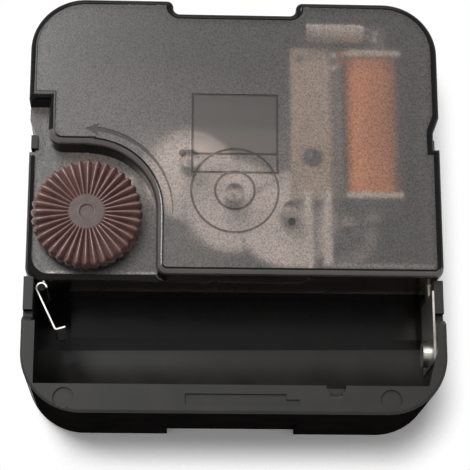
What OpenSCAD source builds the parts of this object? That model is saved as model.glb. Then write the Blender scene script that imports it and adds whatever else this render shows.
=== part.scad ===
// Quartz clock movement for one AA cell, in millimetres.
//
// Every module is drawn as the movement is seen from behind: x to the right, y up and z from the dial face
// towards the back, all from the centre of the threaded bushing on the dial face. from_back() then turns it
// upright: +Z up, the dial face in the plane y = 0 and the hand shaft pointing along -Y.

/* [Case] */
// Width of the case
case_w = 56; // [54:0.5:60]
// Top edge above the hand shaft
case_top = 27.7; // [27:0.1:30]
// Bottom edge below the hand shaft
case_bottom = 30.3; // [29.8:0.1:33]
// Depth from the dial face to the back
case_depth = 16; // [15.6:0.1:18]
// Depth of the base, up to the seam with the cover
base_depth = 9.5; // [9:0.1:10.5]
// Wall of the base
wall = 1.5; // [1.3:0.1:1.8]
// Floor of the base, behind the dial
floor_t = 1.2; // [1.1:0.05:1.3]
// Radius of the two upper corners
corner_top = 7.5; // [5:0.5:9]
// Radius of the two lower corners
corner_bottom = 8; // [5:0.5:9]
// Width of the recess in the top edge
top_recess_w = 17; // [12:0.5:17]
// Depth of the recess in the top edge
top_recess_d = 1.9; // [1:0.1:2]
// Rounding of the steps at its two ends
recess_r = 0.9; // [0.5:0.05:0.9]
// Width of the shallow recess in the bottom edge
foot_recess_w = 17.4; // [12:0.2:20]
// Depth of the shallow recess in the bottom edge
foot_recess_d = 0.7; // [0.4:0.1:1]
// How far the bottom recess reaches from the dial face
foot_recess_z = 8; // [5:0.5:12]
// Lower end of the latch notch in each side
notch_y = 6.4; // [5:0.2:7]
// Height of the latch notch
notch_h = 4.6; // [4:0.2:6]
// Depth of the latch notch
notch_d = 0.85; // [0.8:0.05:1]

/* [Battery bay] */
// Diameter of the cell
cell_d = 14.5; // [14:0.1:14.6]
// Radial room round the cell
cell_room = 0.15; // [0.1:0.05:0.2]
// Cell axis below the hand shaft
cell_drop = 19.1; // [18.9:0.1:19.6]
// Cell axis above the dial face
cell_z = 8.4; // [8.3:0.05:8.8]
// Wall between the bay and the gear train
divider_t = 1.2; // [1:0.1:1.3]
// Top of the base's share of that wall
divider_z = 6.5; // [6:0.1:7]
// Width of the flat rim beside the negative end
rim_left = 1.8; // [1.5:0.1:2.2]
// Width of the flat rim beside the positive end, at the lower corner of the mouth
rim_right = 2.6; // [2:0.1:3.4]
// Where the rim starts to widen towards that corner, below the cell axis
rim_taper = 2.2; // [1:0.1:4]
// Where the bay's flat floor meets the trough, above the cell axis
flat_low = 2.1; // [1.5:0.1:3]
// Length of the solid block under the negative leaf
leaf_block = 4.5; // [4:0.1:6]
// Thickness of the flat rim
rim_t = 1.2; // [1:0.1:1.6]
// Wall behind the contacts, under the rim
end_wall = 1.25; // [1.1:0.05:1.4]
// Depth of the mould recesses in the flat rim
rim_mark_d = 0.25; // [0.15:0.05:0.4]
// Top of the lower stretch of each side wall beside the bay's mouth
side_low_z = 14; // [13:0.1:14.4]
// Length of that lower stretch
side_low_len = 4.5; // [3:0.1:6]
// Width of the notch at its lower end
side_nick = 1; // [0.6:0.1:1.4]

/* [Rear cover] */
// Thickness of the cover's plate and walls
cover_t = 1.2; // [1:0.1:1.3]
// Outer face of the lowered tray that holds the knob
tray_z = 12; // [11.8:0.1:12.2]
// Thickness of the tray's plate
tray_t = 1; // [0.8:0.05:1.1]
// Radius of the wall round the knob
tray_r = 9.3; // [8.6:0.1:9.6]
// Upper edge of the tray beside the knob
tray_top = 6.4; // [6:0.1:7]
// Upper edge of the tray's arm along the left side
tray_arm_top = 12.9; // [11.5:0.1:14]
// Width of that arm
tray_arm_w = 2.7; // [2.2:0.1:3.4]
// Radius of the tray's lower left corner
tray_corner = 1.7; // [0.5:0.1:2.5]
// Right edge of the tray, left of the hand shaft
tray_right = 10.5; // [10:0.1:10.9]
// Height of the low lip along the tray's outer edge
tray_lip_h = 0.4; // [0.2:0.1:0.5]
// Width of that lip
tray_lip_w = 0.8; // [0.5:0.1:1]
// Depth of the fine lines in the cover's face
line_d = 0.12; // [0.08:0.02:0.2]
// Width of those lines
line_w = 0.3; // [0.2:0.05:0.4]
// Radius of the inner ring line round the hand shaft
ring_inner_r = 2.8; // [2.2:0.1:3.4]
// Radius of the outer ring line
ring_outer_r = 6; // [5:0.1:6.8]
// Width of the ruled panel above the rings
panel_w = 11.8; // [9:0.1:13]
// Height of the ruled panel
panel_h = 11.4; // [8:0.1:13]
// Lower edge of the ruled panel above the hand shaft
panel_y = 2.4; // [1.5:0.1:4]
// Share of the panel below its dividing line
panel_split = 2.6; // [1.5:0.1:4]

/* [Bushing and hand pipes] */
// Radius of the threaded bushing
bushing_r = 3.9; // [3.6:0.05:4.2]
// Length of the thread in front of the dial face
bushing_len = 6; // [4:0.5:7]
// Pitch of the thread
thread_pitch = 0.75; // [0.6:0.05:1]
// Depth of the thread
thread_d = 0.35; // [0.2:0.05:0.45]
// Radius of the bushing's flange
flange_r = 5.2; // [4.8:0.1:6]
// Radius of the plain neck that sits in the base's floor
neck_r = 4.15; // [4.1:0.05:4.4]
// Radius of the hour hand's seat
hour_pipe_r = 2.5; // [2.3:0.05:2.6]
// Reach of the hour pipe in front of the dial face
hour_reach = 9; // [8.9:0.1:9.5]
// Length of the hour hand's seat
hour_seat = 2.8; // [2.4:0.1:2.9]
// Radius of the minute hand's seat
minute_pipe_r = 1.6; // [1.55:0.05:1.7]
// Reach of the minute pipe
minute_reach = 12.5; // [11.5:0.25:13]
// Length of the minute hand's seat
minute_seat = 3.3; // [2.4:0.1:3.4]
// Radius of the seconds hand's seat
seconds_r = 0.5; // [0.45:0.01:0.55]
// Reach of the seconds shaft
seconds_reach = 15; // [14:0.25:16]
// Length of the seconds hand's seat
seconds_seat = 2.3; // [1.4:0.1:2.4]
// Shoulder behind each hand's seat
seat_step = 0.2; // [0.18:0.01:0.22]
// Radial running clearance of the pipes and pivots
run_gap = 0.05; // [0.03:0.01:0.07]

/* [Gear train] */
// Distance from the hand shaft to the third wheel
third_dist = 7.62; // [7.56:0.01:7.7]
// Direction of the third wheel
third_dir = 142; // [138:1:146]
// Distance from the hand shaft to the intermediate wheel
inter_dist = 7.97; // [7.92:0.01:8.05]
// Direction of the intermediate wheel
inter_dir = -17.5; // [-20:0.5:-15]
// Distance from the intermediate wheel to the rotor
rotor_dist = 7.99; // [7.94:0.01:8.1]
// Direction of the rotor from the intermediate wheel
rotor_dir = -8.6; // [-10:0.2:-7]
// Thickness of the train wheels
wheel_t = 0.8; // [0.7:0.05:0.85]
// Radius of the pivots in the bridge and the cover
pivot_r = 0.35; // [0.3:0.01:0.4]
// Radius of the bosses that hold the pivots
boss_r = 1.3; // [1.1:0.05:1.4]
// Underside of the train bridge
bridge_z = 4.3; // [4.2:0.02:4.34]
// Thickness of the train bridge
bridge_t = 0.8; // [0.7:0.02:0.86]
// Axial play between neighbouring wheels and seats
end_play = 0.05; // [0.03:0.01:0.07]

/* [Hand setting] */
// Module of the setting gears
setting_module = 0.4; // [0.39:0.001:0.403]
// Module of the hour gears
hour_module = 0.384; // [0.376:0.001:0.387]
// Knob left of the hand shaft
knob_left = 19.8; // [19.7:0.02:19.94]
// Knob below the hand shaft
knob_drop = 3; // [2.8:0.05:3.2]
// Diameter of the knob
knob_d = 15; // [13:0.1:15.4]
// Thickness of the knob at its rim
knob_t = 2.3; // [1.8:0.1:2.6]
// Gap between the tray and the knob
knob_gap = 0.7; // [0.3:0.1:0.9]
// Number of flutes on the knob
knob_flutes = 36; // [24:1:40]
// Height of the flutes
flute_h = 0.7; // [0.4:0.1:0.9]
// Radius of the knob's flat hub
knob_hub_r = 2.45; // [2.2:0.05:3]
// Radius of the knob's arbor
arbor_r = 1.1; // [1:0.05:1.3]
// Radius of the post of the minute-work wheel
work_post_r = 0.8; // [0.7:0.05:0.9]

/* [Motor] */
// Radius of the rotor magnet
magnet_r = 2.2; // [1.9:0.05:2.3]
// Thickness of the rotor magnet
magnet_t = 2; // [1.6:0.1:2.2]
// Air gap round the magnet
air_gap = 0.5; // [0.4:0.05:0.6]
// Thickness of the stator sheet
stator_t = 1; // [0.8:0.05:1.05]
// Coil axis right of the hand shaft
coil_x = 19.3; // [19.2:0.1:19.9]
// Lower end of the winding above the hand shaft
coil_y = 1; // [0.9:0.1:1.4]
// Length of the winding
coil_len = 20; // [19.2:0.1:20.4]
// Outer radius of the winding
coil_r = 3.5; // [3.2:0.05:3.6]
// Loops of the outer layer
coil_loops = 24; // [16:1:24]
// Gap between neighbouring loops
wire_gap = 0.43; // [0.41:0.01:0.46]
// Thickness of the bobbin's end plates
bobbin_t = 0.8; // [0.6:0.1:0.8]
// How far the end plates stand past the winding
bobbin_lip = 0.4; // [0.2:0.05:0.45]
// Width of the coil core
core_w = 2.6; // [2:0.1:3]
// Thickness of the coil core
core_t = 1.6; // [1.2:0.1:1.8]

/* [Circuit] */
// Left edge of the circuit board
board_left = 7.9; // [7.6:0.1:8.2]
// Right edge of the circuit board
board_right = 15.1; // [14:0.1:15.2]
// Lower edge of the circuit board
board_y = 0.2; // [0:0.1:0.6]
// Underside of the circuit board
board_z = 10.6; // [10.5:0.05:10.7]
// Thickness of the circuit board
board_t = 0.8; // [0.6:0.05:0.85]
// Right end of the board's upper arm
board_arm = 21.3; // [21:0.1:22]
// Radius of the sealing resin over the chip
chip_r = 1.4; // [1:0.1:1.8]
// Height of the resin
chip_h = 0.9; // [0.6:0.1:1.2]
// Radius of the crystal's can
can_r = 1.5; // [1:0.05:1.55]
// Length of the crystal's can
can_len = 8; // [6:0.1:8.2]
// Gap between the can and the cover's plate
can_gap = 0.35; // [0.2:0.05:0.5]

/* [Contacts] */
// Thickness of the contact strips
strip_t = 0.25; // [0.2:0.01:0.3]
// Radius of the positive contact's button
button_r = 1.7; // [1.5:0.1:2]
// Height of the button
button_h = 0.8; // [0.4:0.05:1]
// Centre of the button below the cell axis
button_drop = 1.6; // [0.8:0.1:1.8]
// Radius of the peg that carries the negative leaf
peg_r = 0.5; // [0.4:0.02:0.52]
// Width of the negative leaf
leaf_w = 6.6; // [5:0.2:7]
// Length of the leaf's straight blade
leaf_len = 6; // [5:0.1:6.4]
// Angle of the relaxed leaf from the end wall
leaf_angle = 26; // [24:0.5:30]
// Length of the leaf's turned-in toe
toe_len = 1.4; // [1:0.1:1.6]

/* [Hidden] */
$fn = 64;
eps = 0.01;
big = 100;

case_black = "#1d1e20";
smoke = "#4b4a4799";
white_resin = "#e9e6dc";
red_smoke = "#4a1713";
brass = "#c9a45a";
steel = "#b9bcc0";
iron = "#6b6e72";
copper = "#b4632f";
board_tan = "#c9b183";

// Bay, measured from the cell
bay_r = cell_d / 2 + cell_room;
bay_top = -cell_drop + bay_r;
bay_low = -cell_drop - bay_r;
train_low = bay_top + divider_t;
bay_left = -case_w / 2 + end_wall;
bay_right = case_w / 2 - end_wall;
flat_z = floor_t + 0.1;
rim_z = case_depth - rim_t;

// Levels of the motion work and the train, from the dial face
hour_z = floor_t + 0.3;
hour_t = 1;
flange_top = hour_z - end_play;
setting_z = hour_z + hour_t + 0.4;
setting_t = 1;
bridge_top = bridge_z + bridge_t;
bridge_ring_z = bridge_top + 0.25;
centre_z = bridge_ring_z + end_play;
spring_t = 0.15;
minute_top = centre_z + wheel_t + 2 * end_play + spring_t;
third_z = minute_top + 0.15;
seconds_z = third_z + wheel_t + 0.5;
inter_z = seconds_z + wheel_t + 0.5;
train_top = inter_z + wheel_t;
boss_end = train_top + 0.6;
plate_z = case_depth - cover_t;
hour_body_r = hour_pipe_r + seat_step;
minute_body_r = minute_pipe_r + seat_step;
seconds_body_r = seconds_r + seat_step;
minute_neck_r = minute_pipe_r - 0.1;
minute_top_r = minute_pipe_r - 0.5;
seconds_seat_z = third_z - 0.1;
pivot_top = boss_end + 1;
pivot_bottom = bridge_z + 0.2;

// Axes of the train
shaft_at = [0, 0];
third_at = third_dist * [cos(third_dir), sin(third_dir)];
inter_at = inter_dist * [cos(inter_dir), sin(inter_dir)];
rotor_at = inter_at + rotor_dist * [cos(rotor_dir), sin(rotor_dir)];
knob_at = [-knob_left, -knob_drop];

// Teeth
rotor_teeth = 8;
inter_teeth = 48;
inter_pinion_teeth = 8;
seconds_teeth = 40;
seconds_pinion_teeth = 10;
third_teeth = 60;
third_pinion_teeth = 7;
centre_teeth = 70;
cannon_teeth = 12;
work_teeth = 36;
knob_teeth = 17;
work_pinion_teeth = 10;
hour_teeth = 40;

rotor_module = 2 * rotor_dist / (rotor_teeth + inter_teeth);
inter_module = 2 * inter_dist / (inter_pinion_teeth + seconds_teeth);
third_module = 2 * third_dist / (seconds_pinion_teeth + third_teeth);
centre_module = 2 * third_dist / (third_pinion_teeth + centre_teeth);

// The minute-work wheel lies where its distances to the shaft and to the knob meet
work_dist = setting_module * (cannon_teeth + work_teeth) / 2;
work_knob_dist = setting_module * (knob_teeth + work_teeth) / 2;
knob_dist = norm(knob_at);
work_along = (work_dist ^ 2 - work_knob_dist ^ 2 + knob_dist ^ 2) / (2 * knob_dist);
work_aside = sqrt(max(0, work_dist ^ 2 - work_along ^ 2));
knob_unit = knob_at / knob_dist;
work_at = work_along * knob_unit + work_aside * [knob_unit[1], -knob_unit[0]];

// Tooth shape, as shares of the module and of the pitch angle
tooth_out = 0.8;
tooth_in = 1.15;
wheel_tooth = [0.29, 0.20, 0.10];
pinion_tooth = [0.17, 0.17, 0.10];

function bearing(a, b) = atan2(b[1] - a[1], b[0] - a[0]);
// Angle of one tooth of gear B, so that it meshes with gear A, which has a tooth at angle turn_a
function mesh_turn(teeth_a, turn_a, at_a, at_b, teeth_b) =
    let (dir = bearing(at_a, at_b))
    dir + 180 - 360 / teeth_b * (0.5 - teeth_a * (dir - turn_a) / 360);

inter_pinion_turn = mesh_turn(seconds_teeth, 0, shaft_at, inter_at, inter_pinion_teeth);
rotor_turn = mesh_turn(inter_teeth, 0, inter_at, rotor_at, rotor_teeth);
third_turn = mesh_turn(seconds_pinion_teeth, 0, shaft_at, third_at, third_teeth);
centre_turn = mesh_turn(third_pinion_teeth, 0, third_at, shaft_at, centre_teeth);
cannon_turn = mesh_turn(work_teeth, 0, work_at, shaft_at, cannon_teeth);
knob_turn = mesh_turn(work_teeth, 0, work_at, knob_at, knob_teeth);
hour_turn = mesh_turn(work_pinion_teeth, 0, work_at, shaft_at, hour_teeth);

// Motor
stator_z = 6.8;
stator_hole_r = magnet_r + air_gap;
stator_ring_r = stator_hole_r + 1.9;
magnet_z = stator_z + stator_t / 2 - magnet_t / 2;
core_z = stator_z + stator_t;
coil_z = core_z + core_t / 2;
coil_end = coil_y + coil_len;
core_low = coil_y - bobbin_t - 2.4;
core_high = coil_end + bobbin_t + 2.1;
stator_arm_x = board_right - 1;
stator_arm_w = 2.2;
wire_pitch = coil_len / (coil_loops + 1);
wire_d = wire_pitch - wire_gap;
loop_r = coil_r - wire_d / 2;
rings_per_loop = 24;
wire_sides = 6;
pack_r = (loop_r - wire_d / 2) * cos(180 / rings_per_loop) - 0.01;

// Circuit
board_top = board_z + board_t;
board_high = coil_end + bobbin_t + 0.6;
board_arm_y = board_high + 3.4;
board_arm_x = top_recess_w / 2 + cover_t + 0.3;
can_left = board_arm_x;
can_y = board_high + 1.8;
can_z = plate_z - can_gap - can_r;
chip_at = [10.9, 6.3];
pad_pitch = 1.1;
coil_pads = [[board_right - 1, board_high - 1.2], [board_right - 1, board_high - 3]];
can_right = can_left + can_len;
crystal_pads = [[can_right + 2, can_y - pad_pitch / 2], [can_right + 2, can_y + pad_pitch / 2]];
lead_d = 0.3;
lead_bend = 0.7;
lead_z = board_top + lead_d / 2 + end_play;
tab_w = 1.2;
negative_tab_x = 9.6;
positive_tab_x = 12.2;
tab_top = board_y + 1.2;
solder_r = 0.55;
lead_rise = 0.35;
lead_r = 0.11;

// Contacts
peg_x = bay_left + peg_r + run_gap + strip_t + 0.2;
peg_y = bay_top - peg_r - run_gap - strip_t - 0.2;
leaf_z = 5.2;
loop_out_r = peg_r + run_gap + strip_t;
button_y = -cell_drop - button_drop;
strip_low_z = cell_z - 4.2;
strip_high = bay_top - 1.4;
strip_low = bay_top - 11;
strip_pass = [8.2, 10.4];
strip_turn = 1.4;
tab_z = board_top + end_play;
rail_y = train_low + 0.2;
rail_top = base_depth + 0.5;

// Train bridge
bridge_left = -13.8;
bridge_right = 12.2;
bridge_low = train_low + 0.4;
bridge_high = 12.4;

// Posts of the base: [x, y, top of the post, radius, top of its pin, radius of its pin]
bridge_posts = [
    [10.4, -7.8, bridge_z, 1.2, bridge_top, 0.6],
    [-12.9, -8.7, bridge_z, 1.1, bridge_top, 0.6],
    [-9.3, 10.4, bridge_z, 1.2, bridge_top, 0.6],
    [9.3, 8.6, bridge_z, 1.2, board_z, 0.8],
];
board_posts = [[board_left + 1.4, board_high - 1.6, board_z, 1.1, board_top, 0.5]];
stator_posts = [
    [stator_arm_x, 5, stator_z, 1, core_z, 0.5],
    [stator_arm_x, coil_end - 2.4, stator_z, 1, core_z, 0.5],
];
all_posts = concat(bridge_posts, board_posts, stator_posts);

module from_back() rotate([90, 0, 180]) children();

// A cylinder that stands at xy and runs from z0 to z1
module rod(at, z0, z1, r) translate([at[0], at[1], z0]) cylinder(h = z1 - z0, r = r);

module slab(z0, z1) translate([0, 0, z0]) linear_extrude(z1 - z0) children();

// A rectangle from corner a to corner b
module area(a, b) translate([min(a[0], b[0]), min(a[1], b[1])]) square([abs(b[0] - a[0]), abs(b[1] - a[1])]);

// What is left of a square corner outside a quarter circle: at is the corner, to points into the round
module corner_fill(at, to, r) difference() {
    area(at, at + r * to);
    translate(at + r * to) circle(r);
}

module round_box(a, b, r_low, r_high) {
    area([a[0], a[1] + r_low], [b[0], b[1] - r_high]);
    area([a[0] + r_low, a[1]], [b[0] - r_low, a[1] + r_low]);
    area([a[0] + r_high, b[1] - r_high], [b[0] - r_high, b[1]]);
    for (x = [a[0] + r_low, b[0] - r_low]) translate([x, a[1] + r_low]) circle(r_low);
    for (x = [a[0] + r_high, b[0] - r_high]) translate([x, b[1] - r_high]) circle(r_high);
}

module side_notch(inset) {
    x = case_w / 2 - inset;
    deep = x - notch_d;
    polygon([
        [x + eps, notch_y - inset],
        [deep, notch_y - inset],
        [deep, notch_y + notch_h / 2],
        [x + eps, notch_y + notch_h + inset],
    ]);
}

// Recess in the top edge. Its steps are rounded as far as the inset leaves room.
module top_recess(inset) {
    half = top_recess_w / 2 + inset;
    low = case_top - top_recess_d - inset;
    r = recess_r - inset;
    difference() {
        area([-half, low], [half, big]);
        if (r > 0) for (side = [-1, 1]) corner_fill([side * half, low], [-side, 1], r);
    }
    if (r > 0) for (side = [-1, 1]) corner_fill([side * half, case_top - inset], [side, -1], r);
}

// The case seen from behind, drawn in by inset on every side
module case_outline(inset) difference() {
    round_box([-case_w / 2 + inset, -case_bottom + inset], [case_w / 2 - inset, case_top - inset],
        corner_bottom - inset, corner_top - inset);
    top_recess(inset);
    side_notch(inset);
    mirror([1, 0]) side_notch(inset);
}

module above(y) intersection() {
    children();
    area([-big, y], [big, big]);
}

module below(y) intersection() {
    children();
    area([-big, -big], [big, y]);
}

module gear_outline(teeth, m, tooth, turn) {
    r = teeth * m / 2;
    pitch = 360 / teeth;
    flank = [[r - tooth_in * m, tooth[0]], [r, tooth[1]], [r + tooth_out * m, tooth[2]]];
    polygon([for (i = [0 : teeth - 1], k = [0 : 5])
        let (side = k < 3 ? -1 : 1, p = flank[k < 3 ? k : 5 - k], a = turn + pitch * (i + side * p[1]))
        p[0] * [cos(a), sin(a)]]);
}

// A moulded gear: rim with teeth, thinner web, round windows if any, and a hub
module wheel(at, z0, t, teeth, m, turn, hub_r, bore_r, windows) translate([at[0], at[1], z0]) {
    rim_r = teeth * m / 2 - 2.4 * m;
    web_t = t * 0.55;
    window_r = (rim_r - hub_r) * 0.36;
    difference() {
        linear_extrude(t) gear_outline(teeth, m, wheel_tooth, turn);
        translate([0, 0, web_t]) cylinder(h = t, r = rim_r);
        for (i = [1 : 1 : windows])
            rotate(i * 360 / windows)
                translate([(rim_r + hub_r) / 2, 0, -eps]) cylinder(h = t + 1, r = window_r);
        translate([0, 0, -eps]) cylinder(h = t + 1, r = bore_r);
    }
    difference() {
        cylinder(h = t, r = hub_r);
        translate([0, 0, -eps]) cylinder(h = t + 1, r = bore_r);
    }
}

// The tray's outline in the cover, grown by grow
module tray_area(grow) {
    left = -case_w / 2 + tray_arm_w + grow;
    right = -tray_right + grow;
    fillet = 2;
    foot = 1.5;
    translate(knob_at) circle(tray_r + grow);
    area([-big, -big], [knob_at[0], tray_top + grow]);
    area([knob_at[0], -big], [right, knob_at[1]]);
    area([-big, tray_top], [left, tray_arm_top + grow]);
    corner_fill([left, tray_top + grow], [1, 1], fillet);
    translate([right - eps, 0]) corner_fill([0, bay_top], [1, 1], foot);
}

module cover_outline(inset) above(bay_top + inset) case_outline(inset);

// Curved arrow beside the knob: a thin tail that swells towards a barbed head
module turn_arrow() {
    r = tray_r + 2.2;
    from = -2;
    to = 85;
    steps = 16;
    wide = line_w;
    barb = 3 * line_w;
    function half(i) = wide * (0.15 + i / steps);
    function at(i, side) = let (a = from + (to - from) * i / steps) (r + side * half(i)) * [cos(a), sin(a)];
    polygon(concat([for (i = [0 : steps]) at(i, 1)], [for (i = [steps : -1 : 0]) at(i, -1)]));
    rotate(to) translate([r, 0]) polygon([[-barb, -barb / 2], [0, 0], [barb, -barb / 2], [0, 1.6 * barb]]);
}

module cover_lines() {
    for (r = [ring_inner_r, ring_outer_r])
        difference() {
            circle(r);
            circle(r - line_w);
        }
    difference() {
        area([-panel_w / 2, panel_y], [panel_w / 2, panel_y + panel_h]);
        area([-panel_w / 2 + line_w, panel_y + line_w], [panel_w / 2 - line_w, panel_y + panel_h - line_w]);
    }
    area([-panel_w / 2, panel_y + panel_split], [panel_w / 2, panel_y + panel_split + line_w]);
    translate(knob_at) turn_arrow();
    for (at = [[-panel_w / 2 - 1.2, 5.2], [panel_w / 2 + 1.7, -4.3]])
        translate(at) circle(0.5);
}

// Moulded black base: dial face, battery trough, posts, latches
module base_case() from_back() color(case_black) {
    difference() {
        union() {
            slab(0, base_depth) case_outline(0);
            slab(0, case_depth) below(bay_top) case_outline(0);
        }
        slab(floor_t, big) above(train_low) case_outline(wall);
        slab(divider_z, big) area([bay_left, bay_top - eps], [bay_right, train_low + eps]);
        // Trough and mouth of the bay
        translate([bay_left, -cell_drop, cell_z]) rotate([0, 90, 0]) cylinder(h = bay_right - bay_left, r = bay_r);
        slab(cell_z, rim_z) area([bay_left, bay_low], [bay_right, bay_top + eps]);
        slab(rim_z - eps, big) mouth();
        slab(flat_z, cell_z) area([bay_left + leaf_block, -cell_drop + flat_low], [bay_right, bay_top]);
        // Room for the positive strip on its way to the board
        slab(strip_pass[0] - end_play, big)
            area([bay_right - 1, bay_top - eps], [bay_right, train_low + strip_turn + end_play]);
        // Pocket of the leaf's loop
        rod([peg_x, peg_y], leaf_z - 0.4, big, loop_out_r + 0.2);
        slab(-eps, foot_recess_z)
            area([-foot_recess_w / 2, -big], [foot_recess_w / 2, -case_bottom + foot_recess_d]);
        // Seat of the bushing
        rod(shaft_at, -eps, big, neck_r);
        rod(shaft_at, floor_t / 2, big, flange_r + run_gap);
        rim_marks();
        side_lows();
        dial_pockets();
    }
    for (post = all_posts) {
        rod(post, floor_t - eps, post[2], post[3]);
        rod(post, floor_t, post[4], post[5]);
    }
    rod(work_at, floor_t - eps, hour_z - end_play, work_post_r + 0.6);
    rod(work_at, floor_t, bridge_z - end_play, work_post_r);
    knob_bearing();
    rotor_bearing();
    rod([peg_x, peg_y], leaf_z - 0.4 - eps, leaf_z - end_play, loop_out_r);
    rod([peg_x, peg_y], leaf_z - 0.5, leaf_z + leaf_w + 0.4, peg_r);
    ledge();
    for (side = [0, 1]) mirror([side, 0]) latch();
}

// Mouth of the bay: its rim is widest at the lower corner of the positive end
module mouth() polygon([
    [-case_w / 2 + rim_left, bay_top + eps],
    [-case_w / 2 + rim_left, bay_low],
    [case_w / 2 - rim_right, bay_low],
    [bay_right, -cell_drop - rim_taper],
    [bay_right, bay_top + eps],
]);

// Marks of the mould's pins and insert in the flat rim, and the thumb recess
module rim_marks() {
    rim_mid = (bay_low - case_bottom) / 2;
    slab(case_depth - rim_mark_d, big) {
        for (x = [-22.2, 20.4]) translate([x, rim_mid]) circle(1.4);
        area([-6.5, rim_mid - 0.7], [6.7, rim_mid + 0.7]);
        area([6.7 - eps, rim_mid - 0.7], [8.4, rim_mid]);
    }
    slab(case_depth - 2.2, big) translate([13.2, bay_low]) circle(1.3);
}

// The lower stretch of each side wall beside the mouth, with a nick at its end and a ramp up to the rim
module side_lows() {
    end = bay_top - side_low_len;
    ramp = end - side_nick;
    profile = [[bay_top + eps, side_low_z], [end, side_low_z], [end, side_low_z - side_nick],
        [ramp, side_low_z - side_nick], [ramp, side_low_z], [ramp - side_nick, case_depth],
        [ramp - side_nick, big], [bay_top + eps, big]];
    for (x = [[-big, -case_w / 2 + rim_left + eps], [bay_right - eps, big]])
        translate([x[0], 0, 0]) rotate([90, 0, 90]) linear_extrude(x[1] - x[0]) polygon(profile);
}

// Hollows that keep the walls even, open towards the dial
module dial_pockets() {
    low = -case_bottom + wall;
    for (side = [0, 1]) mirror([side, 0])
        slab(-eps, 4.6) area([foot_recess_w / 2 + 1.5, low], [case_w / 2 - corner_bottom, low + 1.5]);
}

module knob_bearing() difference() {
    rod(knob_at, floor_t - eps, setting_z - end_play, arbor_r + 0.9);
    rod(knob_at, floor_t + end_play, big, arbor_r + run_gap);
}

module rotor_bearing() difference() {
    rod(rotor_at, floor_t - eps, magnet_z - 0.5, 1.2);
    rod(rotor_at, magnet_z - 2, big, pivot_r + run_gap);
}

// Shelf that the long negative strip stands on
module ledge() slab(divider_z - 1, divider_z)
    area([-case_w / 2 + wall - eps, train_low - eps], [negative_tab_x + tab_w + 0.6, train_low + 0.9]);

// Hook that holds the cover down
module latch() {
    x = case_w / 2 - notch_d;
    y = [notch_y + 0.4, notch_y + notch_h / 2];
    slab(base_depth - 3, base_depth) area([x - eps, y[0]], [x + 0.6, y[1]]);
    slab(base_depth - eps, tray_z + 0.45) area([x + end_play, y[0]], [x + 0.6, y[1]]);
    slab(tray_z + end_play, tray_z + 0.45) area([x - 0.3, y[0]], [x + 0.6, y[1]]);
}

// Smoked cover: plateau over the movement, lowered tray round the knob
module rear_cover() from_back() color(smoke) {
    difference() {
        union() {
            difference() {
                slab(base_depth, case_depth) cover_outline(0);
                slab(base_depth - eps, plate_z) cover_outline(cover_t);
                slab(tray_z, big) tray_area(0);
            }
            slab(tray_z - tray_t, tray_z) intersection() {
                cover_outline(0);
                tray_area(0.5);
            }
            // Wall between the tray and the plateau
            slab(tray_z - tray_t, case_depth - eps) intersection() {
                cover_outline(0);
                difference() {
                    tray_area(cover_t);
                    tray_area(0);
                }
            }
            slab(divider_z + end_play, base_depth + eps)
                area([-case_w / 2 + end_wall + 0.1, bay_top], [case_w / 2 - end_wall - 0.1, train_low]);
            tray_lip();
            for (at = [shaft_at, third_at, inter_at, rotor_at]) rod(at, boss_end, plate_z + eps, boss_r);
        }
        for (at = [shaft_at, third_at, inter_at, rotor_at]) rod(at, boss_end - 1, pivot_top + 0.2, pivot_r + run_gap);
        rod(knob_at, 0, tray_z + 1, arbor_r + run_gap);
        slab(case_depth - line_d, big) cover_lines();
        slab(base_depth, big) corner_fill([-case_w / 2, bay_top], [1, 1], tray_corner);
        // Windows for the latch hooks
        for (side = [0, 1]) mirror([side, 0])
            slab(tray_z, tray_z + 0.6)
                area([case_w / 2 - notch_d - 0.4, notch_y], [case_w / 2, notch_y + notch_h / 2 + 0.4]);
        // Slots for the two contact strips
        slab(leaf_z, leaf_z + leaf_w) area([peg_x - 0.7, bay_top - eps], [peg_x + 0.7, train_low + eps]);
        slab(leaf_z, leaf_z + leaf_w) area([bay_right - 0.9, bay_top - eps], [bay_right, train_low + eps]);
        rod([peg_x, peg_y], 0, leaf_z + leaf_w + 0.5, loop_out_r + 0.15);
    }
}

module tray_lip() slab(tray_z - eps, tray_z + tray_lip_h) intersection() {
    difference() {
        below(notch_y - 0.6) cover_outline(0);
        round_box([-case_w / 2 + tray_lip_w, bay_top + tray_lip_w], [big, big], 2.5, 1);
    }
    tray_area(0);
}

// Threaded brass bushing, pressed in from inside
module bushing() from_back() color(brass) {
    thread_turns = floor(bushing_len / thread_pitch) - 1;
    difference() {
        union() {
            rod(shaft_at, -bushing_len, eps, bushing_r);
            rod(shaft_at, 0, floor_t, neck_r);
            rod(shaft_at, floor_t / 2, flange_top, flange_r);
        }
        rod(shaft_at, -big, big, hour_body_r + run_gap);
        for (i = [1 : thread_turns])
            translate([0, 0, -bushing_len + i * thread_pitch])
                rotate_extrude()
                    polygon([[bushing_r + eps, -thread_pitch * 0.35], [bushing_r - thread_d, 0],
                        [bushing_r + eps, thread_pitch * 0.35]]);
    }
}

// Inner plate that carries the train and covers the hand-setting gears
module train_bridge() from_back() color(case_black) difference() {
    union() {
        slab(bridge_z, bridge_top) round_box([bridge_left, bridge_low], [bridge_right, bridge_high], 2, 2);
        rod(shaft_at, bridge_z, bridge_ring_z, minute_pipe_r + 1);
        for (at = [third_at, inter_at]) rod(at, bridge_z, bridge_top, boss_r);
    }
    rod(shaft_at, 0, big, minute_neck_r + run_gap);
    for (at = [third_at, inter_at]) rod(at, 0, big, pivot_r + run_gap);
    for (post = bridge_posts) rod(post, 0, big, post[5] + run_gap);
}

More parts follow.
